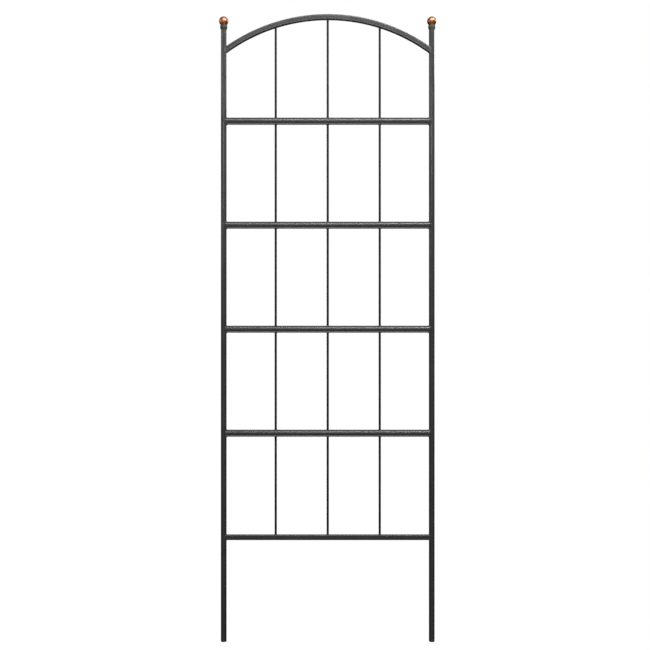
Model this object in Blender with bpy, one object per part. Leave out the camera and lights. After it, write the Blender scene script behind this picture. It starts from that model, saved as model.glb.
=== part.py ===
"""Garden trellis: a welded steel frame for climbing plants.

Two round posts stand on plugged feet. An arched rail of square tube joins their tops, a straight rail of
the same tube joins their legs, and four round crossbars lie between. Three vertical rods run from the
bottom rail through drilled holes in the crossbars up into the arch. A turned collar and a ball close the
top of each post. X runs across the trellis, Y from front to back, and Z up from the feet. Sizes in metres.
"""

import math

import bmesh
import bpy
from mathutils import Matrix

# Layout of the frame
POST_SPACING = 0.730  # between the axes of the two posts
LEG_HEIGHT = 0.365  # feet to the axis of the bottom rail
BAR_PITCH = 0.365  # axis of one bar to the axis of the next
TOP_PANEL = 0.365  # axis of the top crossbar to the crown of the arch's centreline
ARCH_RISE = 0.121  # crown above the height where the arch's centreline meets the posts' axes
POST_RISE = 0.0755  # cut end of a post above that height
CROSSBARS = 4
RODS = 3

# Stock that the frame is cut from
POST_DIAMETER = 0.020
POST_WALL = 0.0015
CROSSBAR_DIAMETER = 0.025
CROSSBAR_WALL = 0.0015
SQUARE_SIDE = 0.0175  # arch and bottom rail
SQUARE_WALL = 0.0015
SQUARE_CORNER = 0.0022  # outer corner radius of the square tube
SQUARE_BORE_CORNER = 0.0008  # corner radius of its bore
ROD_DIAMETER = 0.008

# Joints
GAP = 0.0003  # clearance between pieces that touch
SADDLE_DEPTH = 0.0015  # how far a crossbar's end reaches past the side of the post

# Collar, ball and the stud between them
COLLAR_HEIGHT = 0.0164
COLLAR_BULGE = 0.00285  # how far the collar swells past the post's side
COLLAR_SWEEP = 0.75  # share of the whole swell, foot to foot, that its height takes in
COLLAR_SPIGOT = 0.020  # length of its spigot inside the post
COLLAR_LAND = 0.0034  # flat rim between the ball's seat and the collar's outside
BALL_DIAMETER = 0.033
STUD_DIAMETER = 0.006
STUD_LENGTH = 0.024
STUD_IN_BALL = 0.010
STUD_CHAMFER = 0.0006

# Plug in each foot
PLUG_FLANGE = 0.002
PLUG_DEPTH = 0.016
PLUG_WALL = 0.0015
PLUG_RIB = 0.0006  # how far a rib stands out from the plug's barrel
PLUG_RIB_WIDTH = 0.0012
PLUG_RIBS = 3

# Facets
ROUND_SIDES = 32
ROD_SIDES = 16
ARCH_STEPS = 40
CORNER_STEPS = 2
BALL_STEPS = 7  # pole to equator
COLLAR_STEPS = 8
SEAT_STEPS = 4
SHARP_ANGLE = math.radians(35)
WELD_DISTANCE = 1e-6

# Places worked out from the sizes above
POST_RADIUS = POST_DIAMETER / 2
POST_BORE = POST_RADIUS - POST_WALL
ROD_RADIUS = ROD_DIAMETER / 2
BALL_RADIUS = BALL_DIAMETER / 2
STUD_RADIUS = STUD_DIAMETER / 2
HALF_SPACING = POST_SPACING / 2
TOP_BAR_Z = LEG_HEIGHT + CROSSBARS * BAR_PITCH
CROWN_Z = TOP_BAR_Z + TOP_PANEL
ARCH_RADIUS = (HALF_SPACING**2 + ARCH_RISE**2) / (2 * ARCH_RISE)
ARCH_CENTRE_Z = CROWN_Z - ARCH_RADIUS
POST_TOP_Z = CROWN_Z - ARCH_RISE + POST_RISE
POST_FOOT_Z = PLUG_FLANGE + GAP
COLLAR_Z = POST_TOP_Z + GAP
SEAT_RADIUS = BALL_RADIUS + GAP  # the hollow in the collar's top that the ball rests in
COLLAR_RIM = POST_RADIUS + COLLAR_BULGE * math.sin(math.pi * COLLAR_SWEEP)  # its radius at the top
SEAT_MOUTH = COLLAR_RIM - COLLAR_LAND
BALL_Z = COLLAR_Z + COLLAR_HEIGHT + math.sqrt(SEAT_RADIUS**2 - SEAT_MOUTH**2)
STUD_TOP_Z = BALL_Z - BALL_RADIUS + STUD_IN_BALL
STUD_FOOT_Z = STUD_TOP_Z - STUD_LENGTH

# Finishes: colour, roughness, metallic
COAT = ((0.075, 0.076, 0.077), 0.42, 0.0)
COLLAR_COAT = ((0.080, 0.080, 0.070), 0.40, 0.0)
COPPER = ((0.72, 0.31, 0.17), 0.20, 1.0)
ZINC = ((0.62, 0.62, 0.60), 0.35, 1.0)
PLUG_PLASTIC = ((0.020, 0.020, 0.021), 0.55, 0.0)


def clear_scene():
    for item in list(bpy.data.objects):
        bpy.data.objects.remove(item, do_unlink=True)


def arch_height(x):
    """Height of the arch's centreline above the feet, at x."""
    return ARCH_CENTRE_Z + math.sqrt(ARCH_RADIUS**2 - x**2)


def rod_places():
    """The rods divide the space between the posts evenly."""
    return [POST_SPACING * (n / (RODS + 1) - 0.5) for n in range(1, RODS + 1)]


def finish(name, look):
    """A painted, plated or moulded surface as a Principled material."""
    colour, roughness, metallic = look
    material = bpy.data.materials.new(name)
    material.use_nodes = True
    material.diffuse_color = (*colour, 1.0)
    shader = material.node_tree.nodes["Principled BSDF"]
    shader.inputs["Base Color"].default_value = (*colour, 1.0)
    shader.inputs["Roughness"].default_value = roughness
    shader.inputs["Metallic"].default_value = metallic
    return material


def mesh_from(shape, name):
    """Turns the bmesh into a mesh that faces outwards and is smooth on its round sides."""
    bmesh.ops.remove_doubles(shape, verts=shape.verts[:], dist=WELD_DISTANCE)
    bmesh.ops.recalc_face_normals(shape, faces=shape.faces[:])
    mesh = bpy.data.meshes.new(name)
    shape.to_mesh(mesh)
    shape.free()
    mesh.shade_smooth()
    mesh.set_sharp_from_angle(angle=SHARP_ANGLE)
    return mesh


def place(name, mesh, location, look, trellis):
    """Sets a piece in the frame, under the trellis, with its own finish."""
    piece = bpy.data.objects.new(name, mesh)
    piece.location = location
    piece.parent = trellis
    bpy.context.scene.collection.objects.link(piece)
    if not mesh.materials:
        mesh.materials.append(None)
    piece.material_slots[0].link = "OBJECT"
    piece.material_slots[0].material = finish(name + "_finish", look)
    return piece


def turn(shape, outline, sides, closed=False, x=0.0):
    """Adds to the bmesh an outline of (radius, height) points turned about the upright axis at x.

    A closed outline stands off the axis and makes a ring. An open one starts and ends on the axis."""
    points = [shape.verts.new((x + radius, 0.0, height)) for radius, height in outline]
    pairs = list(zip(points, points[1:]))
    if closed:
        pairs.append((points[-1], points[0]))
    edges = [shape.edges.new(pair) for pair in pairs]
    bmesh.ops.spin(
        shape,
        geom=points + edges,
        cent=(x, 0.0, 0.0),
        axis=(0.0, 0.0, 1.0),
        angle=math.tau,
        steps=sides,
        use_merge=True,
    )


def turned_mesh(name, outline, sides, closed=False):
    shape = bmesh.new()
    turn(shape, outline, sides, closed)
    return mesh_from(shape, name)


def pipe_outline(outer, bore, bottom, top):
    return [(bore, bottom), (outer, bottom), (outer, top), (bore, top)]


def bar_outline(radius, bottom, top):
    return [(0.0, bottom), (radius, bottom), (radius, top), (0.0, top)]


def arc(centre, radius, start, end, steps):
    """Points (radius, height) on a circle about a height on the axis, by the angle from straight down."""
    angles = [start + (end - start) * n / steps for n in range(steps + 1)]
    return [(radius * math.sin(angle), centre - radius * math.cos(angle)) for angle in angles]


def rounded_square(side, corner):
    """(y, z) points round a square with rounded corners."""
    flat = side / 2 - corner
    points = []
    for quarter, (y, z) in enumerate([(flat, flat), (-flat, flat), (-flat, -flat), (flat, -flat)]):
        for step in range(CORNER_STEPS + 1):
            angle = math.pi / 2 * (quarter + step / CORNER_STEPS)
            points.append((y + corner * math.cos(angle), z + corner * math.sin(angle)))
    return points


def square_tube_end(shape, height):
    """The cut end of the square tube, facing along X, with its centre at the given height."""
    outer = rounded_square(SQUARE_SIDE, SQUARE_CORNER)
    bore = rounded_square(SQUARE_SIDE - 2 * SQUARE_WALL, SQUARE_BORE_CORNER)
    rings = [[shape.verts.new((0.0, y, height + z)) for y, z in ring] for ring in (outer, bore)]
    for n in range(len(outer)):
        after = (n + 1) % len(outer)
        shape.faces.new((rings[0][n], rings[0][after], rings[1][after], rings[1][n]))


def make_cutter(trellis):
    """The clearance of the posts and rods, which every bar is saddled to or drilled for.

    A rod's hole starts on the bottom rail's axis and stops on the arch's centreline, so it breaks only
    the near wall of each square tube."""
    shape = bmesh.new()
    for x in (-HALF_SPACING, HALF_SPACING):
        turn(shape, bar_outline(POST_RADIUS + GAP, 0.0, POST_TOP_Z), ROUND_SIDES, x=x)
    for x in rod_places():
        turn(shape, bar_outline(ROD_RADIUS + GAP, LEG_HEIGHT, arch_height(x)), ROD_SIDES, x=x)
    cutter = bpy.data.objects.new("post_and_rod_clearance", mesh_from(shape, "post_and_rod_clearance"))
    cutter.parent = trellis
    cutter.hide_render = True
    cutter.display_type = "WIRE"
    bpy.context.scene.collection.objects.link(cutter)
    return cutter


def cut(piece, cutter):
    saddle = piece.modifiers.new("Saddles and holes", "BOOLEAN")
    saddle.operation = "DIFFERENCE"
    saddle.solver = "EXACT"
    saddle.object = cutter


def make_posts(trellis):
    """Round tube, open at both ends."""
    length = POST_TOP_Z - POST_FOOT_Z
    mesh = turned_mesh("post", pipe_outline(POST_RADIUS, POST_BORE, 0.0, length), ROUND_SIDES, closed=True)
    for side, x in (("left", -HALF_SPACING), ("right", HALF_SPACING)):
        place(side + "_post", mesh, (x, 0.0, POST_FOOT_Z), COAT, trellis)


def make_crossbars(trellis, cutter):
    """Round tube with a shallow saddle at each end and a hole through both walls for each rod."""
    half = HALF_SPACING - POST_RADIUS + SADDLE_DEPTH
    radius = CROSSBAR_DIAMETER / 2
    shape = bmesh.new()
    turn(shape, pipe_outline(radius, radius - CROSSBAR_WALL, -half, half), ROUND_SIDES, closed=True)
    bmesh.ops.rotate(shape, verts=shape.verts[:], matrix=Matrix.Rotation(math.pi / 2, 3, "Y"))
    mesh = mesh_from(shape, "crossbar")
    for n in range(1, CROSSBARS + 1):
        bar = place(f"crossbar_{n}", mesh, (0.0, 0.0, LEG_HEIGHT + n * BAR_PITCH), COAT, trellis)
        cut(bar, cutter)


def make_bottom_rail(trellis, cutter):
    """Square tube, coped to the posts, with a hole in its top wall for each rod."""
    shape = bmesh.new()
    square_tube_end(shape, 0.0)
    bmesh.ops.translate(shape, verts=shape.verts[:], vec=(-HALF_SPACING, 0.0, 0.0))
    pulled = bmesh.ops.extrude_face_region(shape, geom=shape.faces[:])
    moved = [item for item in pulled["geom"] if isinstance(item, bmesh.types.BMVert)]
    bmesh.ops.translate(shape, verts=moved, vec=(POST_SPACING, 0.0, 0.0))
    rail = place("bottom_rail", mesh_from(shape, "bottom_rail"), (0.0, 0.0, LEG_HEIGHT), COAT, trellis)
    cut(rail, cutter)


def make_arch_rail(trellis, cutter):
    """The same square tube, rolled to a circular arc, coped to the posts and drilled from below."""
    reach = math.asin(HALF_SPACING / ARCH_RADIUS)
    shape = bmesh.new()
    square_tube_end(shape, ARCH_RADIUS)
    bmesh.ops.rotate(shape, verts=shape.verts[:], matrix=Matrix.Rotation(-reach, 3, "Y"))
    bmesh.ops.spin(
        shape,
        geom=shape.faces[:],
        cent=(0.0, 0.0, 0.0),
        axis=(0.0, 1.0, 0.0),
        angle=2 * reach,
        steps=ARCH_STEPS,
    )
    arch = place("arch_rail", mesh_from(shape, "arch_rail"), (0.0, 0.0, ARCH_CENTRE_Z), COAT, trellis)
    cut(arch, cutter)


def make_rods(trellis):
    """Round bar that stands on the floor of the bottom rail's bore and ends inside the arch."""
    foot = LEG_HEIGHT - SQUARE_SIDE / 2 + SQUARE_WALL + GAP
    for n, x in enumerate(rod_places(), start=1):
        outline = bar_outline(ROD_RADIUS, 0.0, arch_height(x) - foot)
        place(f"rod_{n}", turned_mesh(f"rod_{n}", outline, ROD_SIDES), (x, 0.0, foot), COAT, trellis)


def collar_outline():
    """From the foot of the spigot up the outside, over the rim, and down the seat into the stud's hole."""
    spigot = POST_BORE - GAP
    hole = STUD_RADIUS + GAP
    hole_foot = STUD_FOOT_Z - GAP - COLLAR_Z
    seat_centre = BALL_Z - COLLAR_Z
    outline = [(0.0, -COLLAR_SPIGOT), (spigot, -COLLAR_SPIGOT), (spigot, 0.0)]
    for n in range(COLLAR_STEPS + 1):
        share = n / COLLAR_STEPS
        swell = COLLAR_BULGE * math.sin(math.pi * COLLAR_SWEEP * share)
        outline.append((POST_RADIUS + swell, COLLAR_HEIGHT * share))
    mouth_angle = math.asin(SEAT_MOUTH / SEAT_RADIUS)
    hole_angle = math.asin(hole / SEAT_RADIUS)
    outline += arc(seat_centre, SEAT_RADIUS, mouth_angle, hole_angle, SEAT_STEPS)
    outline += [(hole, hole_foot), (0.0, hole_foot)]
    return outline


def ball_outline():
    """A solid ball with the stud's hole in its underside, measured from its centre."""
    hole = STUD_RADIUS + GAP
    hole_top = STUD_TOP_Z + GAP - BALL_Z
    start = math.asin(hole / BALL_RADIUS)
    lower = arc(0.0, BALL_RADIUS, start, math.pi / 2, BALL_STEPS)
    upper = arc(0.0, BALL_RADIUS, math.pi / 2, math.pi, BALL_STEPS)
    return [(0.0, hole_top), (hole, hole_top)] + lower + upper[1:]


def stud_outline():
    slim = STUD_RADIUS - STUD_CHAMFER
    return [
        (0.0, 0.0),
        (slim, 0.0),
        (STUD_RADIUS, STUD_CHAMFER),
        (STUD_RADIUS, STUD_LENGTH - STUD_CHAMFER),
        (slim, STUD_LENGTH),
        (0.0, STUD_LENGTH),
    ]


def make_finials(trellis):
    """On each post a turned collar, a ball on it, and the stud that is screwed into both."""
    collar = turned_mesh("collar", collar_outline(), ROUND_SIDES)
    ball = turned_mesh("ball", ball_outline(), ROUND_SIDES)
    stud = turned_mesh("ball_stud", stud_outline(), ROD_SIDES)
    for side, x in (("left", -HALF_SPACING), ("right", HALF_SPACING)):
        place(side + "_collar", collar, (x, 0.0, COLLAR_Z), COLLAR_COAT, trellis)
        place(side + "_ball", ball, (x, 0.0, BALL_Z), COPPER, trellis)
        place(side + "_ball_stud", stud, (x, 0.0, STUD_FOOT_Z), ZINC, trellis)


def plug_outline():
    """A moulded cup with a flange under the tube's end and ribs round its barrel."""
    rib = POST_BORE - GAP
    barrel = rib - PLUG_RIB
    top = POST_FOOT_Z + PLUG_DEPTH
    outline = [(0.0, 0.0), (POST_RADIUS, 0.0), (POST_RADIUS, PLUG_FLANGE), (barrel, PLUG_FLANGE)]
    for n in range(1, PLUG_RIBS + 1):
        middle = PLUG_FLANGE + (top - PLUG_FLANGE) * n / (PLUG_RIBS + 1)
        outline += [
            (barrel, middle - PLUG_RIB_WIDTH / 2),
            (rib, middle),
            (barrel, middle + PLUG_RIB_WIDTH / 2),
        ]
    cup = barrel - PLUG_WALL
    return outline + [(barrel, top), (cup, top), (cup, PLUG_FLANGE), (0.0, PLUG_FLANGE)]


def make_foot_plugs(trellis):
    mesh = turned_mesh("foot_plug", plug_outline(), ROUND_SIDES)
    for side, x in (("left", -HALF_SPACING), ("right", HALF_SPACING)):
        place(side + "_foot_plug", mesh, (x, 0.0, 0.0), PLUG_PLASTIC, trellis)


def build():
    clear_scene()
    trellis = bpy.data.objects.new("trellis", None)
    bpy.context.scene.collection.objects.link(trellis)
    cutter = make_cutter(trellis)
    make_posts(trellis)
    make_crossbars(trellis, cutter)
    make_bottom_rail(trellis, cutter)
    make_arch_rail(trellis, cutter)
    make_rods(trellis)
    make_finials(trellis)
    make_foot_plugs(trellis)


build()
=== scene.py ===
import math

import bmesh
import bpy
from mathutils import Matrix, Vector


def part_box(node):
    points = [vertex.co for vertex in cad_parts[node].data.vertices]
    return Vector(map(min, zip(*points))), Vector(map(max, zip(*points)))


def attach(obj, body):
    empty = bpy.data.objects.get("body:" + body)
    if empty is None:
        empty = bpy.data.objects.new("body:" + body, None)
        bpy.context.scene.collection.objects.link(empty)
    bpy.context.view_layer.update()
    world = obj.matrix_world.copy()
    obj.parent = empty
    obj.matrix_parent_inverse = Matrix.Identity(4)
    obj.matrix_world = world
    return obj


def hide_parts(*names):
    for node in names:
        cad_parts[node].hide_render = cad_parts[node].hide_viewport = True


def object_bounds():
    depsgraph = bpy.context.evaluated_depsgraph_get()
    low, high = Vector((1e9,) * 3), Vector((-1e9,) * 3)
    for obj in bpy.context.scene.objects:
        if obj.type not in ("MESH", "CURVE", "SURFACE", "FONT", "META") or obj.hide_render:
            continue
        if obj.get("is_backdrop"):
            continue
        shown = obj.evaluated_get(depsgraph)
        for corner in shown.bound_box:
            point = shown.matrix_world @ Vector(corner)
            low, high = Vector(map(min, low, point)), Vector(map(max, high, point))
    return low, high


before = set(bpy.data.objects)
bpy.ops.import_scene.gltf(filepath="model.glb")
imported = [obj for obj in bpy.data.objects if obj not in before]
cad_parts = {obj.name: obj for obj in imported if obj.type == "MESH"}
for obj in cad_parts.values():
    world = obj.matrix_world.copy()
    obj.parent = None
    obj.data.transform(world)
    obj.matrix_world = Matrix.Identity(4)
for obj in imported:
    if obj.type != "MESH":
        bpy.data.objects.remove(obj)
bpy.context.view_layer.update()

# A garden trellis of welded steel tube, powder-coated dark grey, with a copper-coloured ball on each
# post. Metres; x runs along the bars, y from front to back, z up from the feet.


# Camera. It stands level, 3.16 m in front and half way up, a hair left of the middle, which fits the
# photograph best. The picture takes in 2.281 m at the trellis.
CAMERA_PLACE = (-0.0096, -3.16, 1.1097)
PICTURE_WIDTH = 2.2812
SENSOR = 36.0

lens = bpy.data.cameras.new("front_camera")
lens.sensor_width = SENSOR
lens.lens = SENSOR * -CAMERA_PLACE[1] / PICTURE_WIDTH
lens.clip_end = 100.0
camera = bpy.data.objects.new("front_camera", lens)
camera.location = CAMERA_PLACE
camera.rotation_euler = (math.pi / 2, 0.0, 0.0)
bpy.context.scene.collection.objects.link(camera)
bpy.context.scene.camera = camera


# Posts: two lengths of round seam-welded steel tube, 20 mm across with a 1.5 mm wall, which are also the
# legs. They are cut square, deburred at both ends and powder-coated with the whole frame.
POST_SIDES = 64
TUBE_WALL = 0.0015
DEBURR = 0.0003
SHARP_ANGLE = math.radians(32)
SEAM_WIDTH = 0.0007
SEAM_FADE = 0.004
FOOT_RUB = 0.012
FOOT_RUB_FADE = 0.008
TOP_RUB = 0.004
COAT_GREY = (0.040, 0.0404, 0.041, 1.0)
COAT_THIN = (0.053, 0.0533, 0.0537, 1.0)
COAT_RUBBED = (0.135, 0.134, 0.130, 1.0)
COAT_DUST = (0.165, 0.160, 0.148, 1.0)
COAT_ROUGHNESS = 0.24
CLOUD_SCALE = 9.0
PEEL_SCALE = 430.0
GRAIN_SCALE = 2900.0
PEEL_HEIGHT = 0.00002


class Wire:
    """One line between nodes. A sum written on it adds its Math nodes to the tree."""

    def __init__(self, tree, socket=None):
        self.tree = tree
        self.socket = socket

    def pick(self, sockets, name):
        """A socket by its number, or else by its identifier or its name."""
        if isinstance(name, int):
            return sockets[name]
        exact = [socket for socket in sockets if socket.identifier == name]
        return (exact or [socket for socket in sockets if socket.name == name])[0]

    def node(self, kind, settings=None, values=None, out=0):
        """Adds any node: its settings first, then the numbers or wires of its sockets."""
        made = self.tree.nodes.new(kind)
        for name, setting in (settings or {}).items():
            setattr(made, name, setting)
        for name, value in (values or {}).items():
            socket = self.pick(made.inputs, name)
            if isinstance(value, Wire):
                self.tree.links.new(value.socket, socket)
            else:
                socket.default_value = value
        return Wire(self.tree, self.pick(made.outputs, out))

    def sum(self, operation, *terms):
        """One Math node of any operation."""
        return self.node("ShaderNodeMath", {"operation": operation}, dict(enumerate(terms)))

    def __add__(self, other):
        return self.sum("ADD", self, other)

    def __sub__(self, other):
        return self.sum("SUBTRACT", self, other)

    def __rsub__(self, other):
        return self.sum("SUBTRACT", other, self)

    def __mul__(self, other):
        return self.sum("MULTIPLY", self, other)

    def __truediv__(self, other):
        return self.sum("DIVIDE", self, other)

    def __rtruediv__(self, other):
        return self.sum("DIVIDE", other, self)

    def __pow__(self, other):
        return self.sum("POWER", self, other)

    __radd__ = __add__
    __rmul__ = __mul__

    def size(self):
        """The number without its sign."""
        return self.sum("ABSOLUTE", self)

    def root(self):
        return self.sum("SQRT", self)

    def at_least(self, other):
        return self.sum("MAXIMUM", self, other)

    def rise(self, low, high):
        """0 below low and 1 above high, with a smooth rise between."""
        return self.node(
            "ShaderNodeMapRange",
            {"interpolation_type": "SMOOTHSTEP"},
            {"Value": self, "From Min": low, "From Max": high},
        )

    def parts(self):
        """The three numbers of a vector."""
        x = self.node("ShaderNodeSeparateXYZ", values={0: self})
        made = x.socket.node
        return [Wire(self.tree, made.outputs[n]) for n in range(3)]

    def joined(self, x, y, z):
        return self.node("ShaderNodeCombineXYZ", values={0: x, 1: y, 2: z})

    def scaled(self, x, y, z):
        return self.node("ShaderNodeVectorMath", {"operation": "MULTIPLY"}, {0: self, 1: (x, y, z)})

    def noise(self, scale, detail=2.0, roughness=0.5):
        return self.node(
            "ShaderNodeTexNoise",
            values={"Vector": self, "Scale": scale, "Detail": detail, "Roughness": roughness},
        )

    def between(self, low, high):
        """A colour from low to high, with this wire as the share."""
        return self.node(
            "ShaderNodeMix",
            {"data_type": "RGBA"},
            {"Factor_Float": self, "A_Color": low, "B_Color": high},
            "Result_Color",
        )

    def feed(self, node, name):
        self.tree.links.new(self.socket, node.inputs[name])

    def emboss(self, shader, height, strength):
        """Bumps a shader's surface with this wire."""
        values = {"Height": self, "Distance": height, "Strength": strength}
        self.node("ShaderNodeBump", values=values).feed(shader, "Normal")


def new_finish(name):
    """An empty Principled material: the material, its shader, and a wire for the place on the object."""
    material = bpy.data.materials.new(name)
    material.use_nodes = True
    tree = material.node_tree
    place = Wire(tree).node("ShaderNodeTexCoord", out="Object")
    return material, tree.nodes["Principled BSDF"], place


def powder_coat(name, rubbed, seam=None, shade=1.0):
    """Baked polyester powder: orange peel, pigment grain, clouds of thinner film, dust on what faces up,
    fine handling marks, and the film rubbed paler where the mask rubbed(x, y, z) says so. A shade below 1
    makes it darker and less glossy."""
    material, shader, place = new_finish(name)
    x, y, z = place.parts()
    clouds = place.noise(CLOUD_SCALE, 3.0).rise(0.36, 0.66)
    peel = place.noise(PEEL_SCALE, 2.0)
    grain = place.noise(GRAIN_SCALE, 1.0)
    marks = place.scaled(260.0, 260.0, 22.0).noise(1.0, 2.0).rise(0.64, 0.72)
    marks = marks * place.noise(6.0).rise(0.5, 0.64)
    upward = place.node("ShaderNodeNewGeometry", out="Normal").parts()[2]
    dust = upward.rise(0.35, 0.95) * place.noise(75.0, 4.0, 0.65).rise(0.42, 0.74)
    rub = place.noise(310.0, 3.0).rise(0.40, 0.62) * rubbed(x, y, z)
    thick, thin = ([channel * shade for channel in grey[:3]] + [1.0] for grey in (COAT_GREY, COAT_THIN))
    film = (clouds * 0.75 + grain * 0.4 - 0.1).between(thick, thin)
    film = (marks * 0.16).between(film, COAT_RUBBED)
    film = (dust * 0.16).between(film, COAT_DUST)
    (rub * 0.5).between(film, COAT_RUBBED).feed(shader, "Base Color")
    gloss = COAT_ROUGHNESS + (clouds - 0.5) * 0.05 + (grain - 0.5) * 0.06 + dust * 0.10
    (gloss - rub * 0.10 - marks * 0.06).feed(shader, "Roughness")
    relief = peel * 0.8 + grain * 0.16 - marks * 0.05
    if seam:
        relief = relief + seam(x, y, z) * 1.3
    relief.emboss(shader, PEEL_HEIGHT, 0.6)
    shader.inputs["Specular IOR Level"].default_value = 0.5 * shade
    return material


def seam_line(offset):
    """1 on the low flat bead that the tube mill leaves along a tube, from the distance to its middle."""
    return (1.0 - (offset / SEAM_WIDTH).size()).rise(0.0, 0.6)


def tube_tree():
    """A tube from its outer outline: the wall's section goes round the outline, then every line of it is
    drawn in to the post it meets, and the whole is rolled to an arc if it is a bent one."""
    tree = bpy.data.node_groups.new("drawn_tube", "GeometryNodeTree")
    sizes = (
        "Half span",
        "Wall",
        "Deburr",
        "Steps",
        "Cope radius",
        "Least reach",
        "Bend radius",
        "Bent",
        "Sharp angle",
    )
    tree.interface.new_socket(name="Outline", in_out="INPUT", socket_type="NodeSocketGeometry")
    for name in sizes:
        kind = {"Steps": "NodeSocketInt", "Bent": "NodeSocketBool"}.get(name, "NodeSocketFloat")
        tree.interface.new_socket(name=name, in_out="INPUT", socket_type=kind)
    tree.interface.new_socket(name="Finish", in_out="INPUT", socket_type="NodeSocketMaterial")
    tree.interface.new_socket(name="Tube", in_out="OUTPUT", socket_type="NodeSocketGeometry")
    given = tree.nodes.new("NodeGroupInput")
    read = {socket.name: Wire(tree, socket) for socket in given.outputs if socket.name}
    start = Wire(tree)
    outline = start.node("GeometryNodeMeshToCurve", values={"Mesh": read["Outline"]})
    outline = outline.node(
        "GeometryNodeSetCurveNormal", {"mode": "FREE"}, {"Curve": outline, "Normal": (1.0, 0.0, 0.0)}
    )
    wall = start.node(
        "GeometryNodeCurvePrimitiveQuadrilateral",
        values={"Width": read["Half span"] * 2.0, "Height": read["Wall"]},
    )
    wall = wall.node(
        "GeometryNodeTransform",
        values={"Geometry": wall, "Translation": start.joined(0.0, read["Wall"] * -0.5, 0.0)},
    )
    wall = wall.node(
        "GeometryNodeFilletCurve",
        {"mode": "POLY"},
        {"Curve": wall, "Count": 1, "Radius": read["Deburr"]},
    )
    # Of the wall's eight edges, those numbered 1 and 5 run along the tube.
    number = start.node("GeometryNodeInputIndex")
    lengthwise = number.sum("COMPARE", number.sum("MODULO", number, 4.0), 1.0, 0.5)
    wall = wall.node(
        "GeometryNodeSubdivideCurve", values={"Curve": wall, "Cuts": lengthwise * read["Steps"]}
    )
    tube = outline.node("GeometryNodeCurveToMesh", values={"Curve": outline, "Profile Curve": wall})
    x, y, z = start.node("GeometryNodeInputPosition").parts()
    to_post = (read["Cope radius"] * read["Cope radius"] - y * y).at_least(0.0).root()
    reach = read["Half span"] - to_post.at_least(read["Least reach"])
    share = x / read["Half span"]
    straight = start.joined(share * reach, y, z)
    radius = read["Bend radius"] + z
    angle = start.sum("ARCSINE", reach / radius) * share
    rolled = start.joined(
        radius * start.sum("SINE", angle), y, radius * start.sum("COSINE", angle) - read["Bend radius"]
    )
    place = start.node(
        "GeometryNodeSwitch",
        {"input_type": "VECTOR"},
        {"Switch": read["Bent"], "False": straight, "True": rolled},
    )
    tube = tube.node("GeometryNodeSetPosition", values={"Geometry": tube, "Position": place})
    tube = tube.node(
        "GeometryNodeSetShadeSmooth", {"domain": "FACE"}, {"Geometry": tube, "Shade Smooth": True}
    )
    corner = start.node("GeometryNodeInputMeshEdgeAngle")
    tube = tube.node(
        "GeometryNodeSetShadeSmooth",
        {"domain": "EDGE"},
        {
            "Geometry": tube,
            "Selection": corner.sum("GREATER_THAN", corner, read["Sharp angle"]),
            "Shade Smooth": False,
        },
    )
    tube = tube.node("GeometryNodeRealizeInstances", values={"Geometry": tube})
    tube = tube.node("GeometryNodeSetMaterial", values={"Geometry": tube, "Material": read["Finish"]})
    tree.links.new(tube.socket, tree.nodes.new("NodeGroupOutput").inputs[0])
    return tree


def made_by(tree, name, base, sizes):
    """Runs a tree on the base mesh and keeps what comes out as the piece's own plain mesh."""
    piece = bpy.data.objects.new(name, base)
    bpy.context.scene.collection.objects.link(piece)
    maker = piece.modifiers.new("Maker", "NODES")
    maker.node_group = tree
    for item in tree.interface.items_tree:
        if item.in_out == "INPUT" and item.name in sizes:
            maker[item.identifier] = sizes[item.name]
    seen = bpy.context.evaluated_depsgraph_get()
    mesh = bpy.data.meshes.new_from_object(piece.evaluated_get(seen))
    mesh.name = name
    piece.modifiers.clear()
    piece.data = mesh
    return piece


def outline_mesh(points):
    """A closed line of edges through (y, z) points, for the tube tree to follow."""
    mesh = bpy.data.meshes.new("outline")
    count = len(points)
    mesh.from_pydata([(0.0, y, z) for y, z in points], [(n, (n + 1) % count) for n in range(count)], [])
    return mesh


def circle(radius, sides):
    turns = [math.tau * n / sides for n in range(sides)]
    return [(radius * math.cos(turn), radius * math.sin(turn)) for turn in turns]


def on_frame(piece, slot, *nodes):
    """Sets a finished piece on the frame's one body, in the place of its CAD nodes."""
    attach(piece, "root")
    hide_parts(*nodes)


drawn_tube = tube_tree()
post_low, post_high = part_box("left_post")
post_radius = (post_high.y - post_low.y) / 2
half_spacing = (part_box("right_post")[0].x - post_low.x) / 2
post_middle_z = (post_low.z + post_high.z) / 2
both_posts = (("left", -half_spacing), ("right", half_spacing))


def near_post_ends(x, y, z):
    """1 at the foot of a post, which stands in the soil, and at its top."""
    return (FOOT_RUB - z).rise(0.0, FOOT_RUB_FADE) + z.rise(post_high.z - TOP_RUB, post_high.z)


for side, post_x in both_posts:
    post_coat = powder_coat(
        side + "_post_coat",
        rubbed=near_post_ends,
        seam=lambda x, y, z: seam_line(x - post_x) * y.rise(0.0, SEAM_FADE),
    )
    post = made_by(
        drawn_tube,
        side + "_post_tube",
        outline_mesh(circle(post_radius, POST_SIDES)),
        {
            "Half span": (post_high.z - post_low.z) / 2,
            "Wall": TUBE_WALL,
            "Deburr": DEBURR,
            "Sharp angle": SHARP_ANGLE,
            "Finish": post_coat,
        },
    )
    upright = Matrix.Rotation(math.pi / 2, 4, "Y")
    post.data.transform(Matrix.Translation((post_x, 0.0, post_middle_z)) @ upright)
    on_frame(post, "powder_coat", side + "_post")


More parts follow.
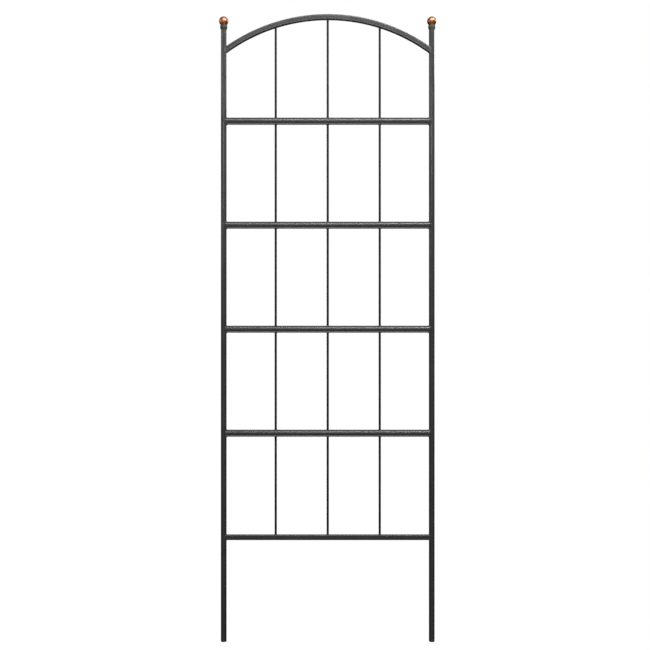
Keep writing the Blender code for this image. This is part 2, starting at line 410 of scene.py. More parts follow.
# Crossbars: four lengths of 25 mm round tube between the posts. They are thicker than the posts, so their
# ends are saddled only a little way round them, and a fillet weld closes the joint all the way round.
CROSSBARS = 4
CROSSBAR_SIDES = 72
SADDLE_DEPTH = 0.0015
JOINT_GAP = 0.0003
WELD_LEG = 0.0021
WELD_CROWN = 0.00045
WELD_COVER = 0.0003
WELD_SINK = 0.0002
WELD_UNEVENNESS = 0.0003
WELD_LUMP = 0.004
WELD_RUB = 0.35
WELD_PITCH = 0.0023
WELD_RIPPLE = 0.00013
RIPPLE_BOW = 1.4
RIPPLE_STEPS = 5
FEWEST_RIPPLES = 8
FACE_POINTS = 7
BAR_RUB = (0.016, 0.009)
BAR_SEAM_PLACE = 0.0085
UNTURNED = (0.0, 0.0, 0.0)
HALF_TURN = (0.0, 0.0, math.pi)
UPSIDE_DOWN = (math.pi, 0.0, 0.0)


def weld_face(toe, foot, corner, outward):
    """Points over a weld's face, from its toe on one piece to its foot on the other. The face stands out
    by the crown, and clears the corner it covers."""
    middle = (toe + foot) / 2
    slope = (foot - toe).normalized()
    out = (outward - slope * outward.dot(slope)).normalized()
    top = middle + out * max(WELD_CROWN, (corner - middle).dot(out) + WELD_COVER)
    pull = top * 2 - middle
    points = []
    for n in range(FACE_POINTS):
        share = n / (FACE_POINTS - 1)
        points.append(toe * (1 - share) ** 2 + pull * 2 * share * (1 - share) + foot * share**2)
    return points, out


def bead_mesh(station, length):
    """A closed weld bead. station(turn) gives its toe, foot, corner, way out and buried root at each
    angle round the joint. The ripples are the crescents that the weld pool leaves as it freezes."""
    ripples = max(FEWEST_RIPPLES, round(length / WELD_PITCH))
    steps = ripples * RIPPLE_STEPS
    shape = bmesh.new()
    rings = []
    for n in range(steps):
        toe, foot, corner, outward, buried = station(math.tau * n / steps)
        face, out = weld_face(toe, foot, corner, outward)
        ring = []
        for m, point in enumerate(face):
            across = 2 * m / (FACE_POINTS - 1) - 1
            wave = math.sin(math.tau * n / RIPPLE_STEPS + RIPPLE_BOW * across**2) * (1 - across**2)
            ring.append(shape.verts.new(point + out * (WELD_RIPPLE * wave)))
        rings.append(ring + [shape.verts.new(buried)])
    for ring, after in zip(rings, rings[1:] + rings[:1]):
        for m in range(len(ring)):
            following = (m + 1) % len(ring)
            shape.faces.new((ring[m], ring[following], after[following], after[m]))
    bmesh.ops.recalc_face_normals(shape, faces=shape.faces[:])
    mesh = bpy.data.meshes.new("bead")
    shape.to_mesh(mesh)
    shape.free()
    return mesh


def post_station(end, out, along, leg=WELD_LEG):
    """One station of a weld between a tube's end and the post it meets, from the post's axis."""
    toe = end + along * leg - out * WELD_SINK
    azimuth = math.atan2(end.y, end.x)
    azimuth += leg * out.y / post_radius
    on_post = Vector((math.cos(azimuth), math.sin(azimuth), 0.0))
    foot = on_post * (post_radius - WELD_SINK)
    foot.z = end.z + leg * out.z
    buried = end - out * (TUBE_WALL / 2) + along * WELD_SINK * 2
    return toe, foot, end, out + on_post, buried


def weld_tree():
    """Sets a bead on every joint, turned as the joint is, and makes each uneven in its own way."""
    tree = bpy.data.node_groups.new("weld_beads", "GeometryNodeTree")
    for name, kind in (
        ("Joints", "NodeSocketGeometry"),
        ("Bead", "NodeSocketObject"),
        ("Unevenness", "NodeSocketFloat"),
        ("Lump size", "NodeSocketFloat"),
        ("Finish", "NodeSocketMaterial"),
    ):
        tree.interface.new_socket(name=name, in_out="INPUT", socket_type=kind)
    tree.interface.new_socket(name="Welds", in_out="OUTPUT", socket_type="NodeSocketGeometry")
    given = tree.nodes.new("NodeGroupInput")
    read = {socket.name: Wire(tree, socket) for socket in given.outputs if socket.name}
    start = Wire(tree)
    turn = start.node("GeometryNodeInputNamedAttribute", {"data_type": "FLOAT_VECTOR"}, {"Name": "turn"})
    turn = turn.node("FunctionNodeEulerToRotation", values={0: turn})
    bead = start.node("GeometryNodeObjectInfo", values={"Object": read["Bead"]}, out="Geometry")
    welds = start.node(
        "GeometryNodeInstanceOnPoints",
        values={"Points": read["Joints"], "Instance": bead, "Rotation": turn},
    )
    welds = welds.node("GeometryNodeRealizeInstances", values={"Geometry": welds})
    lumps = start.node("GeometryNodeInputPosition")
    lumps = lumps.noise(1.0 / read["Lump size"], 1.0) - 0.5
    facing = start.node("GeometryNodeInputNormal")
    push = facing.node(
        "ShaderNodeVectorMath", {"operation": "SCALE"}, {0: facing, "Scale": lumps * read["Unevenness"]}
    )
    welds = welds.node("GeometryNodeSetPosition", values={"Geometry": welds, "Offset": push})
    welds = welds.node(
        "GeometryNodeSetShadeSmooth", {"domain": "FACE"}, {"Geometry": welds, "Shade Smooth": True}
    )
    welds = welds.node("GeometryNodeSetMaterial", values={"Geometry": welds, "Material": read["Finish"]})
    tree.links.new(welds.socket, tree.nodes.new("NodeGroupOutput").inputs[0])
    return tree


def welded(name, bead, joints, finish):
    """Sets the welds of one kind on the frame as one piece. joints are (place, turns about x, y and z)."""
    pattern = bpy.data.objects.new("bead", bead)
    bpy.context.scene.collection.objects.link(pattern)
    base = bpy.data.meshes.new("joints")
    base.from_pydata([place for place, turn in joints], [], [])
    turns = base.attributes.new("turn", "FLOAT_VECTOR", "POINT")
    for n, (place, turn) in enumerate(joints):
        turns.data[n].vector = turn
    piece = made_by(
        weld_beads,
        name,
        base,
        {"Bead": pattern, "Unevenness": WELD_UNEVENNESS, "Lump size": WELD_LUMP, "Finish": finish},
    )
    bpy.data.objects.remove(pattern)
    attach(piece, "root")


weld_beads = weld_tree()
bar_low, bar_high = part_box("crossbar_1")
bar_radius = (bar_high.y - bar_low.y) / 2
cope_radius = post_radius + JOINT_GAP
least_reach = post_radius - SADDLE_DEPTH
bar_coat = powder_coat(
    "crossbar_coat",
    rubbed=lambda x, y, z: x.size().rise(half_spacing - BAR_RUB[0], half_spacing - BAR_RUB[1]),
    seam=lambda x, y, z: seam_line(y - BAR_SEAM_PLACE),
)
weld_coat = powder_coat("weld_coat", rubbed=lambda x, y, z: WELD_RUB)


def bar_end(turn):
    """One station round the joint of a crossbar and a post."""
    out = Vector((0.0, math.cos(turn), math.sin(turn)))
    end = out * bar_radius
    end.x = max(least_reach, math.sqrt(max(cope_radius**2 - end.y**2, 0.0)))
    return post_station(end, out, Vector((1.0, 0.0, 0.0)))


bar_heights = []
bar_joints = []
for n in range(1, CROSSBARS + 1):
    low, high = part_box(f"crossbar_{n}")
    bar_z = (low.z + high.z) / 2
    bar = made_by(
        drawn_tube,
        f"crossbar_{n}_tube",
        outline_mesh(circle(bar_radius, CROSSBAR_SIDES)),
        {
            "Half span": half_spacing,
            "Wall": TUBE_WALL,
            "Deburr": DEBURR,
            "Cope radius": cope_radius,
            "Least reach": least_reach,
            "Sharp angle": SHARP_ANGLE,
            "Finish": bar_coat,
        },
    )
    bar.data.transform(Matrix.Translation((0.0, 0.0, bar_z)))
    on_frame(bar, "powder_coat", f"crossbar_{n}")
    bar_heights.append(bar_z)
    bar_joints.append(((-half_spacing, 0.0, bar_z), UNTURNED))
    bar_joints.append(((half_spacing, 0.0, bar_z), HALF_TURN))
welded("crossbar_welds", bead_mesh(bar_end, math.tau * bar_radius), bar_joints, weld_coat)


# Bottom rail: 17.5 mm square tube with rounded corners, coped to the legs and welded all round. It is the
# lowest bar, and the three rods stand in it.
CORNER_RADIUS = 0.0022
CORNER_STEPS = 5
CORNER_RUB_END = 0.55
SQUARE_SEAM_DROP = 0.002
RAIL_WELD_LEG = 0.0017
SHORTEST_STEP = 1e-9

rail_low, rail_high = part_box("bottom_rail")
rail_z = (rail_low.z + rail_high.z) / 2
half_side = (rail_high.z - rail_low.z) / 2


def rounded_square(half, corner, steps):
    """(y, z) points round a square with rounded corners, and the way out at each."""
    flat = half - corner
    middles = [(flat, flat), (-flat, flat), (-flat, -flat), (flat, -flat)]
    points = []
    for quarter, (y, z) in enumerate(middles):
        for step in range(steps + 1):
            turn = math.pi / 2 * (quarter + step / steps)
            out = (math.cos(turn), math.sin(turn))
            points.append(((y + corner * out[0], z + corner * out[1]), out))
    return points


def square_at(turn):
    """The square's outline as a smooth function of an angle from 0 to a whole turn."""
    rows = rounded_square(half_side, CORNER_RADIUS, CORNER_STEPS)
    lengths = [0.0]
    for n in range(len(rows)):
        here, after = Vector(rows[n][0]), Vector(rows[(n + 1) % len(rows)][0])
        lengths.append(lengths[-1] + (after - here).length)
    want = turn / math.tau % 1.0 * lengths[-1]
    n = max(n for n in range(len(rows)) if lengths[n] <= want)
    share = (want - lengths[n]) / max(lengths[n + 1] - lengths[n], SHORTEST_STEP)
    here, after = rows[n], rows[(n + 1) % len(rows)]
    point = Vector(here[0]).lerp(Vector(after[0]), share)
    return point, Vector(here[1]).lerp(Vector(after[1]), share).normalized()


def near_corner(y, up):
    """1 on the rounded corners of a square tube, from its own y and height."""
    sharp = 2 * half_side
    return (y.size() + up.size()).rise(sharp - CORNER_RADIUS, sharp - CORNER_RADIUS * CORNER_RUB_END)


rail_coat = powder_coat(
    "bottom_rail_coat",
    rubbed=lambda x, y, z: near_corner(y, z - rail_z),
    seam=lambda x, y, z: seam_line(z - rail_z + SQUARE_SEAM_DROP) * y.rise(0.0, SEAM_FADE),
)
square_outline = [point for point, out in rounded_square(half_side, CORNER_RADIUS, CORNER_STEPS)]
rail = made_by(
    drawn_tube,
    "bottom_rail_tube",
    outline_mesh(square_outline),
    {
        "Half span": half_spacing,
        "Wall": TUBE_WALL,
        "Deburr": DEBURR,
        "Cope radius": cope_radius,
        "Sharp angle": SHARP_ANGLE,
        "Finish": rail_coat,
    },
)
rail.data.transform(Matrix.Translation((0.0, 0.0, rail_z)))
on_frame(rail, "powder_coat", "bottom_rail")


def rail_end(turn):
    """One station round the joint of the bottom rail and a leg."""
    (y, z), (out_y, out_z) = square_at(turn)
    end = Vector((math.sqrt(cope_radius**2 - y**2), y, z))
    return post_station(end, Vector((0.0, out_y, out_z)), Vector((1.0, 0.0, 0.0)), RAIL_WELD_LEG)


square_girth = 8 * half_side
rail_joints = [((-half_spacing, 0.0, rail_z), UNTURNED), ((half_spacing, 0.0, rail_z), HALF_TURN)]
welded("bottom_rail_welds", bead_mesh(rail_end, square_girth), rail_joints, weld_coat)


# Arch rail: the same square tube, rolled cold to a circular arc, coped to the inner sides of the posts
# just below their tops, and welded all round.
ARCH_RISE = 0.121
ARCH_STEPS = 96
ARCH_WELD_LEG = 0.0018
SLANTED_CUT = 1.175

crown_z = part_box("arch_rail")[1].z - half_side
spring_z = crown_z - ARCH_RISE
arch_radius = (half_spacing**2 + ARCH_RISE**2) / (2 * ARCH_RISE)
arch_centre_z = crown_z - arch_radius


def from_arch(x, z):
    """How far a point stands out from the centreline of the arch."""
    return (x * x + (z - arch_centre_z) ** 2.0).root() - arch_radius


arch_coat = powder_coat(
    "arch_rail_coat",
    rubbed=lambda x, y, z: near_corner(y, from_arch(x, z)),
    seam=lambda x, y, z: seam_line(from_arch(x, z) + SQUARE_SEAM_DROP) * y.rise(0.0, SEAM_FADE),
)
arch = made_by(
    drawn_tube,
    "arch_rail_tube",
    outline_mesh(square_outline),
    {
        "Half span": half_spacing,
        "Wall": TUBE_WALL,
        "Deburr": DEBURR,
        "Steps": ARCH_STEPS,
        "Cope radius": cope_radius,
        "Bend radius": arch_radius,
        "Bent": True,
        "Sharp angle": SHARP_ANGLE,
        "Finish": arch_coat,
    },
)
arch.data.transform(Matrix.Translation((0.0, 0.0, crown_z)))
on_frame(arch, "powder_coat", "arch_rail")


def arch_end(turn):
    """One station round the joint of the arch and the left post, from the post's axis at the spring."""
    (y, outward), (out_y, out_w) = square_at(turn)
    to_post = math.sqrt(cope_radius**2 - y**2)
    radius = arch_radius + outward
    lean = -math.asin((half_spacing - to_post) / radius)
    end = Vector((to_post, y, radius * math.cos(lean) + arch_centre_z - spring_z))
    out = Vector((math.sin(lean) * out_w, out_y, math.cos(lean) * out_w))
    return post_station(end, out, Vector((math.cos(lean), 0.0, -math.sin(lean))), ARCH_WELD_LEG)


arch_joints = [((-half_spacing, 0.0, spring_z), UNTURNED), ((half_spacing, 0.0, spring_z), HALF_TURN)]
welded("arch_rail_welds", bead_mesh(arch_end, SLANTED_CUT * square_girth), arch_joints, weld_coat)


# Rods: three 8 mm round bars. Each runs in one length from the bottom rail, through drilled holes in the
# crossbars, up into the arch, with a small ring of weld wherever it enters or leaves a tube. Their coat is
# the frame's powder painted darker and duller, which is painted shade.
RODS = 3
ROD_SIDES = 32
ROD_CHAMFER = 0.0005
ROD_PAINTED_SHADE = 0.35
ROD_RUB = 0.2
RING_LEG = 0.0011
RING_ROOT = 0.3
RING_ROOT_DEPTH = 0.0006
MERGE_DISTANCE = 1e-6


def turned(name, outline, sides):
    """A turned shape: (radius, height) points that start and end on the axis, spun about it."""
    shape = bmesh.new()
    points = [shape.verts.new((radius, 0.0, height)) for radius, height in outline]
    edges = [shape.edges.new(pair) for pair in zip(points, points[1:])]
    bmesh.ops.spin(
        shape,
        geom=points + edges,
        cent=(0.0, 0.0, 0.0),
        axis=(0.0, 0.0, 1.0),
        angle=math.tau,
        steps=sides,
        use_merge=True,
    )
    bmesh.ops.remove_doubles(shape, verts=shape.verts[:], dist=MERGE_DISTANCE)
    bmesh.ops.recalc_face_normals(shape, faces=shape.faces[:])
    mesh = bpy.data.meshes.new(name)
    shape.to_mesh(mesh)
    shape.free()
    mesh.shade_smooth()
    mesh.set_sharp_from_angle(angle=SHARP_ANGLE)
    return mesh


def set_piece(name, mesh, place, finish):
    """A finished mesh as an object at the origin, with its place in its mesh."""
    mesh.transform(Matrix.Translation(place))
    mesh.materials.append(finish)
    piece = bpy.data.objects.new(name, mesh)
    bpy.context.scene.collection.objects.link(piece)
    return piece


def ring_station(height, upward):
    """The stations of a weld ring round an upright rod. height(x, y) is the surface that the rod enters,
    and upward is 1 on top of it and -1 below it."""

    def station(turn):
        out = Vector((math.cos(turn), math.sin(turn), 0.0))
        away = Vector((0.0, 0.0, upward))
        corner = out * rod_radius
        foot = out * (rod_radius + RING_LEG)
        corner.z = height(corner.x, corner.y)
        foot.z = height(foot.x, foot.y)
        toe = corner + away * RING_LEG - out * WELD_SINK
        buried = corner - out * rod_radius * RING_ROOT - away * RING_ROOT_DEPTH
        return toe, foot - away * WELD_SINK, corner, out + away, buried

    return station


# The rods take the frame's powder painted darker and duller: painted shade.
rod_coat = powder_coat("rod_coat", rubbed=lambda x, y, z: ROD_RUB, shade=ROD_PAINTED_SHADE)
bar_rings = []
rail_rings = []
for n in range(1, RODS + 1):
    low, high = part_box(f"rod_{n}")
    rod_radius = (high.y - low.y) / 2
    rod_x = (low.x + high.x) / 2
    length = high.z - low.z
    slim = rod_radius - ROD_CHAMFER
    outline = [(0.0, 0.0), (slim, 0.0), (rod_radius, ROD_CHAMFER)]
    outline += [(rod_radius, length - ROD_CHAMFER), (slim, length), (0.0, length)]
    mesh = turned(f"rod_{n}_bar", outline, ROD_SIDES)
    rod = set_piece(f"rod_{n}_bar", mesh, (rod_x, 0.0, low.z), rod_coat)
    on_frame(rod, "powder_coat", f"rod_{n}")
    rail_rings.append(((rod_x, 0.0, rail_z), UNTURNED))
    for bar_z in bar_heights:
        bar_rings.append(((rod_x, 0.0, bar_z), UNTURNED))
        bar_rings.append(((rod_x, 0.0, bar_z), UPSIDE_DOWN))

ring_length = math.tau * rod_radius
on_bar = ring_station(lambda x, y: math.sqrt(bar_radius**2 - y**2), 1.0)
welded("rod_rings_on_crossbars", bead_mesh(on_bar, ring_length), bar_rings, weld_coat)
on_rail = ring_station(lambda x, y: half_side, 1.0)
welded("rod_rings_on_bottom_rail", bead_mesh(on_rail, ring_length), rail_rings, weld_coat)
first_low, first_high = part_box("rod_1")
inner_radius = arch_radius - half_side
for name, rod_x, turns in (
    ("rod_rings_on_arch_sides", (first_low.x + first_high.x) / 2, (UNTURNED, HALF_TURN)),
    ("rod_ring_on_arch_crown", 0.0, (UNTURNED,)),
):
    joints = [((rod_x * (1 - 2 * n), 0.0, spring_z), turn) for n, turn in enumerate(turns)]
    under_arch = ring_station(
        lambda x, y: math.sqrt(inner_radius**2 - (rod_x + x) ** 2) + arch_centre_z - spring_z,
        -1.0,
    )
    welded(name, bead_mesh(under_arch, ring_length), joints, weld_coat)


# Collars: turned steel caps, swelled above the middle. Each plugs the top of its post with a spigot, and a
# hollow in its top seats the ball. They are coated with the frame, in a slightly olive grey.
COLLAR_SIDES = 72
COLLAR_HEIGHT = 0.0164
COLLAR_BULGE = 0.00285
COLLAR_SWEEP = 0.75
COLLAR_LAND = 0.0034
COLLAR_ROUND = 0.0002
COLLAR_STEPS = 24
SEAT_STEPS = 12
SPIGOT_LENGTH = 0.020
STUD_RADIUS = 0.003
COLLAR_GREY = (0.044, 0.045, 0.029, 1.0)
COLLAR_LIGHT = (0.060, 0.060, 0.041, 1.0)
RIM_RUB = (0.0012, 0.0003)
COLLAR_FOOT_RUB = 0.0014
TOOL_LINE_SCALE = 2600.0


def arc(centre, radius, start, end, steps):
    """Points (radius, height) on a circle about a height on the axis, by the angle from straight down."""
    angles = [start + (end - start) * n / steps for n in range(steps + 1)]
    return [(radius * math.sin(angle), centre - radius * math.cos(angle)) for angle in angles]


ball_low, ball_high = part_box("left_ball")
ball_radius = (ball_high.y - ball_low.y) / 2
ball_z = ball_high.z - ball_radius
collar_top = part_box("left_collar")[1].z
collar_foot = collar_top - COLLAR_HEIGHT
stud_low, stud_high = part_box("left_ball_stud")
seat_radius = ball_radius + JOINT_GAP
spigot = post_radius - TUBE_WALL - JOINT_GAP
hole = STUD_RADIUS + JOINT_GAP
collar_outline = [(0.0, -SPIGOT_LENGTH), (spigot, -SPIGOT_LENGTH), (spigot, 0.0)]
collar_outline.append((post_radius - COLLAR_ROUND, 0.0))
for n in range(COLLAR_STEPS + 1):
    share = n / COLLAR_STEPS
    swell = COLLAR_BULGE * math.sin(math.pi * COLLAR_SWEEP * share)
    collar_outline.append((post_radius + swell, COLLAR_ROUND + (COLLAR_HEIGHT - 2 * COLLAR_ROUND) * share))
collar_rim = post_radius + swell
collar_outline.append((collar_rim - COLLAR_ROUND, COLLAR_HEIGHT))
mouth = math.asin((collar_rim - COLLAR_LAND) / seat_radius)
collar_outline += arc(ball_z - collar_foot, seat_radius, mouth, math.asin(hole / seat_radius), SEAT_STEPS)
hole_foot = stud_low.z - JOINT_GAP - collar_foot
collar_outline += [(hole, hole_foot), (0.0, hole_foot)]


def collar_finish():
    """The same powder over a turned surface, whose tool lines still show faintly through it."""
    material, shader, place = new_finish("turned_collar_coat")
    z = place.parts()[2]
    clouds = place.noise(60.0, 3.0).rise(0.35, 0.68)
    grain = place.noise(2600.0, 1.0)
    peel = place.noise(520.0, 2.0)
    lines = place.joined(0.0, 0.0, z * TOOL_LINE_SCALE).noise(1.0, 1.0)
    rim = z.rise(collar_top - RIM_RUB[0], collar_top - RIM_RUB[1])
    rim = rim + (collar_foot + COLLAR_FOOT_RUB - z).rise(0.0, RIM_RUB[0])
    rub = rim * place.noise(350.0, 3.0).rise(0.38, 0.6)
    coat = (clouds * 0.8 + grain * 0.3).between(COLLAR_GREY, COLLAR_LIGHT)
    (rub * 0.25).between(coat, COAT_RUBBED).feed(shader, "Base Color")
    (0.55 + (clouds - 0.5) * 0.08 + (grain - 0.5) * 0.06 - rub * 0.1).feed(shader, "Roughness")
    (peel * 0.6 + lines * 0.5 + grain * 0.12).emboss(shader, 0.00004, 0.6)
    shader.inputs["Specular IOR Level"].default_value = 0.35
    return material


collar_coat = collar_finish()
for side, post_x in both_posts:
    mesh = turned(side + "_collar_cap", collar_outline, COLLAR_SIDES)
    collar = set_piece(side + "_collar_cap", mesh, (post_x, 0.0, collar_foot), collar_coat)
    on_frame(collar, "collar_coat", side + "_collar")


# Balls: 33 mm steel balls, polished, copper-plated and lacquered. Each is drilled from below for the stud
# that holds it down on its collar.
BALL_SIDES = 96
BALL_STEPS = 32
COPPER_BRIGHT = (0.66, 0.285, 0.16, 1.0)
COPPER_DEEP = (0.46, 0.135, 0.06, 1.0)
COPPER_TARNISH_AND_SHADE = (0.20, 0.085, 0.050, 1.0)
FOOT_SHADE_BELOW_MIDDLE = 0.0085
FOOT_SHADE_FADE = 0.0050
POLISH_RING_SCALE = 5200.0


def copper_plate():
    """Lacquered plating: darker patches where it was handled, freckles of tarnish, a dull brown painted
    shade round the foot where it sits in the collar, and the polisher's fine rings."""
    material, shader, place = new_finish("ball_copper")
    z = place.parts()[2]
    patches = place.noise(95.0, 4.0, 0.6).rise(0.38, 0.70)
    freckles = place.noise(900.0, 3.0).rise(0.66, 0.74) * place.noise(160.0).rise(0.45, 0.6)
    # Painted shade: the foot of the ball, where it sits in the collar, turns dull brown and less metallic.
    foot = (ball_z - FOOT_SHADE_BELOW_MIDDLE - z).rise(0.0, FOOT_SHADE_FADE)
    foot = foot * (0.55 + place.noise(420.0, 3.0) * 0.6)
    rings = place.joined(0.0, 0.0, z * POLISH_RING_SCALE).noise(1.0, 2.0)
    scratches = place.scaled(700.0, 700.0, 70.0).noise(1.0, 2.0).rise(0.62, 0.70)
    copper = patches.between(COPPER_BRIGHT, COPPER_DEEP)
    copper = (freckles * 0.5).between(copper, COPPER_TARNISH_AND_SHADE)
    (foot * 0.75).between(copper, COPPER_TARNISH_AND_SHADE).feed(shader, "Base Color")
    worn = freckles * 0.2 + foot * 0.22 + scratches * 0.06
    (0.40 + patches * 0.05 + worn + rings * 0.03).feed(shader, "Roughness")
    (1.0 - foot * 0.35 - freckles * 0.3).feed(shader, "Metallic")
    (rings * 0.4 + scratches * -0.35 + freckles * 0.3).emboss(shader, 0.000015, 0.5)
    shader.inputs["Coat Weight"].default_value = 0.2
    shader.inputs["Coat Roughness"].default_value = 0.35
    return material


copper = copper_plate()
hole_top = stud_high.z + JOINT_GAP - ball_z
ball_outline = [(0.0, hole_top), (hole, hole_top)]
ball_outline += arc(0.0, ball_radius, math.asin(hole / ball_radius), math.pi / 2, BALL_STEPS)
ball_outline += arc(0.0, ball_radius, math.pi / 2, math.pi, BALL_STEPS)[1:]
for side, post_x in both_posts:
    mesh = turned(side + "_copper_ball", ball_outline, BALL_SIDES)
    ball = set_piece(side + "_copper_ball", mesh, (post_x, 0.0, ball_z), copper)
    on_frame(ball, "copper_plate", side + "_ball")


# Studs: 6 mm zinc-plated steel studs, screwed into the collar below and the ball above. Nothing of them
# shows, so the CAD solids stay as they are and only take the plating's finish.
ZINC_BRIGHT = (0.66, 0.66, 0.64, 1.0)
ZINC_DULL_AND_SHADE = (0.48, 0.49, 0.49, 1.0)
THREAD_PITCH = 0.001
THREAD_DEPTH = 0.0003


def zinc_plate():
    """Bright zinc with dull patches, painted shade in the thread's grooves, and the thread as a fine rise
    and fall along the stud.
    """
    material, shader, place = new_finish("stud_zinc")
    z = place.parts()[2]
    patches = place.noise(260.0, 3.0).rise(0.35, 0.65)
    thread = z.sum("SINE", z * (math.tau / THREAD_PITCH)) * 0.5 + 0.5
    # The thread's grooves are painted duller and darker: painted shade.
    (patches * 0.7 + (1.0 - thread) * 0.3).between(ZINC_BRIGHT, ZINC_DULL_AND_SHADE).feed(shader, "Base Color")
    (0.28 + patches * 0.14 + (1.0 - thread) * 0.1).feed(shader, "Roughness")
    thread.emboss(shader, THREAD_DEPTH, 0.8)
    shader.inputs["Metallic"].default_value = 1.0
    return material


zinc = zinc_plate()
for side in ("left", "right"):
    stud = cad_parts[side + "_ball_stud"]
    for slot in stud.material_slots:
        slot.material = zinc


# Foot plugs: black polyethylene, injection moulded. A ribbed barrel is pushed up into each leg, and a 2 mm
# flange with rounded edges closes the end that goes into the soil.
PLUG_SIDES = 64
PLUG_FLANGE = 0.002
PLUG_WALL = 0.0015
PLUG_RIB = 0.0006
PLUG_RIB_WIDTH = 0.0012
PLUG_RIB_TOP = 0.12
PLUG_RIBS = 3
PLUG_ROUND = 0.0005
PLUG_ROUND_STEPS = 5
PLUG_EDGE = 0.0002
PLUG_LEAD = 0.0003
GATE_RADIUS = 0.0016
GATE_DEPTH = 0.0004
PLUG_BLACK = (0.017, 0.017, 0.018, 1.0)
PLUG_WORN = (0.050, 0.049, 0.047, 1.0)
SCUFF_HEIGHT = 0.0012
SCUFF_FADE = 0.0010

plug_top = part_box("left_foot_plug")[1].z
barrel = spigot - PLUG_RIB
cup = barrel - PLUG_WALL
plug_outline = [(0.0, GATE_DEPTH), (GATE_RADIUS, GATE_DEPTH), (GATE_RADIUS + PLUG_EDGE, 0.0)]
for n in range(PLUG_ROUND_STEPS + 1):
    turn = math.pi / 2 * n / PLUG_ROUND_STEPS
    plug_outline.append(
        (post_radius - PLUG_ROUND * (1 - math.sin(turn)), PLUG_ROUND * (1 - math.cos(turn)))
    )
plug_outline += [(post_radius, PLUG_FLANGE - PLUG_EDGE), (post_radius - PLUG_EDGE, PLUG_FLANGE)]
plug_outline.append((barrel, PLUG_FLANGE))
for n in range(1, PLUG_RIBS + 1):
    rib_z = PLUG_FLANGE + (plug_top - PLUG_FLANGE) * n / (PLUG_RIBS + 1)
    for offset, out in ((-0.5, 0.0), (-PLUG_RIB_TOP, 1.0), (PLUG_RIB_TOP, 1.0), (0.5, 0.0)):
        plug_outline.append((barrel + PLUG_RIB * out, rib_z + PLUG_RIB_WIDTH * offset))
plug_outline += [(barrel, plug_top - PLUG_LEAD), (barrel - PLUG_LEAD, plug_top), (cup, plug_top)]
plug_outline += [(cup, PLUG_FLANGE), (0.0, PLUG_FLANGE)]


def plug_plastic():
    """Moulded black polyethylene: a spark-eroded texture, and scuffs on the face that meets the ground."""
    material, shader, place = new_finish("plug_polyethylene")
    z = place.parts()[2]
    texture = place.noise(1900.0, 2.0)
    scuffs = place.scaled(900.0, 120.0, 120.0).noise(1.0, 3.0).rise(0.55, 0.68)
    scuffs = scuffs * (SCUFF_HEIGHT - z).rise(0.0, SCUFF_FADE)
    bloom = place.noise(140.0, 3.0).rise(0.4, 0.7)
    (scuffs * 0.7 + bloom * 0.18).between(PLUG_BLACK, PLUG_WORN).feed(shader, "Base Color")
    (0.52 + (texture - 0.5) * 0.12 + scuffs * 0.15).feed(shader, "Roughness")
    (texture * 0.6 - scuffs * 0.5).emboss(shader, 0.00006, 0.7)
    return material


plastic = plug_plastic()
for side, post_x in both_posts:
    mesh = turned(side + "_foot_cap", plug_outline, PLUG_SIDES)
    plug = set_piece(side + "_foot_cap", mesh, (post_x, 0.0, 0.0), plastic)
    on_frame(plug, "plug_plastic", side + "_foot_plug")


# Floor and light: a wide white sheet, and white all round. Three soft boxes high in front draw the line
# along each bar, boxes at the sides model the posts, and one behind serves the other views. Glows fill in
# from the front, from high behind and up from the sheet.
FLOOR_RADIUS = 14.0
FLOOR_SIDES = 96
BLACK = (0.0, 0.0, 0.0, 1.0)
WHITE = (1.0, 1.0, 1.0, 1.0)
KEY_SIZE = (0.7, 0.4)
BOX_SIZE = (0.9, 0.5)
BACK_BOX_SIZE = (1.2, 0.5)
FRONT_GLOW = 0.37
FRONT_SPREAD = math.radians(60)
BACK_GLOW = 1.0
BACK_SPREAD = math.radians(55)
SHEET_GLARE = 6.6
SHEET_SPREAD = math.radians(24)

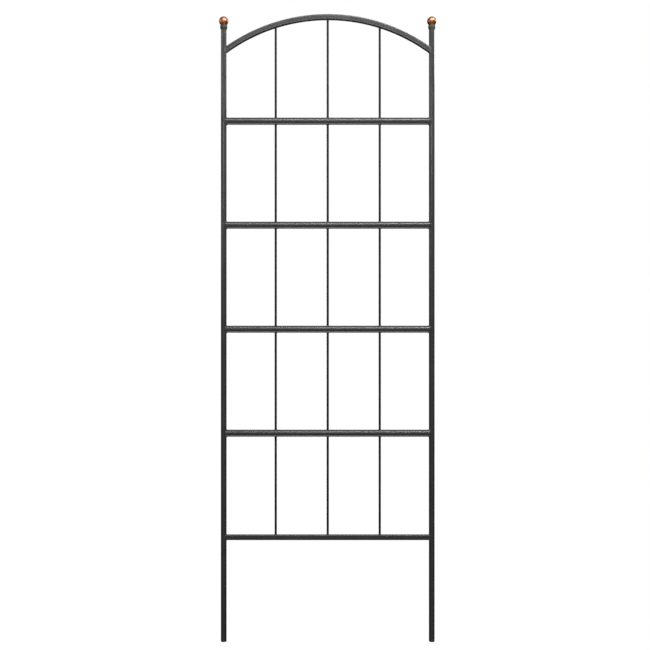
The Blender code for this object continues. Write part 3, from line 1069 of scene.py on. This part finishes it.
shape = bmesh.new()
bmesh.ops.create_circle(shape, cap_ends=True, segments=FLOOR_SIDES, radius=FLOOR_RADIUS)
mesh = bpy.data.meshes.new("studio_floor")
shape.to_mesh(mesh)
shape.free()
floor = bpy.data.objects.new("studio_floor", mesh)
bpy.context.scene.collection.objects.link(floor)
paper, paper_shader, place = new_finish("studio_paper")
tone = place.noise(3.0, 2.0) * 0.01
(0.02 + tone).between(BLACK, WHITE).feed(paper_shader, "Base Color")
(0.99 + tone).between(BLACK, WHITE).feed(paper_shader, "Emission Color")
paper_shader.inputs["Emission Strength"].default_value = 1.0
paper_shader.inputs["Roughness"].default_value = 0.9
paper_shader.inputs["Specular IOR Level"].default_value = 0.0
mesh.materials.append(paper)
floor.visible_diffuse = False
floor.visible_glossy = False
floor.visible_shadow = False
floor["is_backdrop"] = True


def soft_light(name, place, aim_height, size, power):
    """A rectangular soft box, aimed at a height on the trellis's middle."""
    lamp = bpy.data.lights.new(name, "AREA")
    lamp.shape = "RECTANGLE"
    lamp.size, lamp.size_y = size
    lamp.energy = power
    lit = bpy.data.objects.new(name, lamp)
    lit.location = place
    aim = Vector((0.0, 0.0, aim_height)) - Vector(place)
    lit.rotation_euler = aim.to_track_quat("-Z", "Y").to_euler()
    lit.visible_camera = False
    bpy.context.scene.collection.objects.link(lit)


soft_light("key_left_box", (-0.6, -2.2, 3.8), 1.8, KEY_SIZE, 16.8)
soft_light("key_middle_box", (0.1, -1.5, 3.4), 1.8, KEY_SIZE, 15.3)
soft_light("key_right_box", (0.8, -2.2, 3.8), 1.8, KEY_SIZE, 32.0)
soft_light("right_box", (1.2, -0.9, 3.2), 1.8, BOX_SIZE, 24.0)
soft_light("left_box", (-2.2, -0.6, 2.6), 1.6, BOX_SIZE, 8.9)
soft_light("low_left_box", (-2.2, -0.8, 1.6), 0.6, BOX_SIZE, 3.4)
soft_light("front_box", (0.0, -3.2, 2.4), 1.4, BOX_SIZE, 10.3)
soft_light("back_side_box", (1.6, 1.2, 2.7), 1.3, BACK_BOX_SIZE, 10.0)


def lobe(way, axis, width):
    """1 along an axis, falling off to 0 at an angle of width from it."""
    axis = Vector(axis).normalized()
    facing = way.node("ShaderNodeVectorMath", {"operation": "DOT_PRODUCT"}, {0: way, 1: axis}, out="Value")
    return (1.0 - facing.sum("ARCCOSINE", facing) / width).at_least(0.0)


world = bpy.data.worlds.new("studio")
bpy.context.scene.world = world
world.use_nodes = True
tree = world.node_tree
tree.nodes.clear()
start = Wire(tree)
way = start.node("ShaderNodeTexCoord", out="Generated")
glow = lobe(way, (0.0, -1.0, 0.0), FRONT_SPREAD) * FRONT_GLOW
glow = glow + lobe(way, (0.0, 0.7, 0.7), BACK_SPREAD) * BACK_GLOW
glow = glow + lobe(way, (0.0, 0.0, -1.0), SHEET_SPREAD) * SHEET_GLARE
seen = start.node("ShaderNodeLightPath", out="Is Camera Ray")
strength = seen + (1.0 - seen) * glow
sky = start.node("ShaderNodeBackground", values={"Color": WHITE, "Strength": strength})
tree.links.new(sky.socket, tree.nodes.new("ShaderNodeOutputWorld").inputs["Surface"])

bpy.context.scene.view_settings.view_transform = "Standard"

low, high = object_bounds()
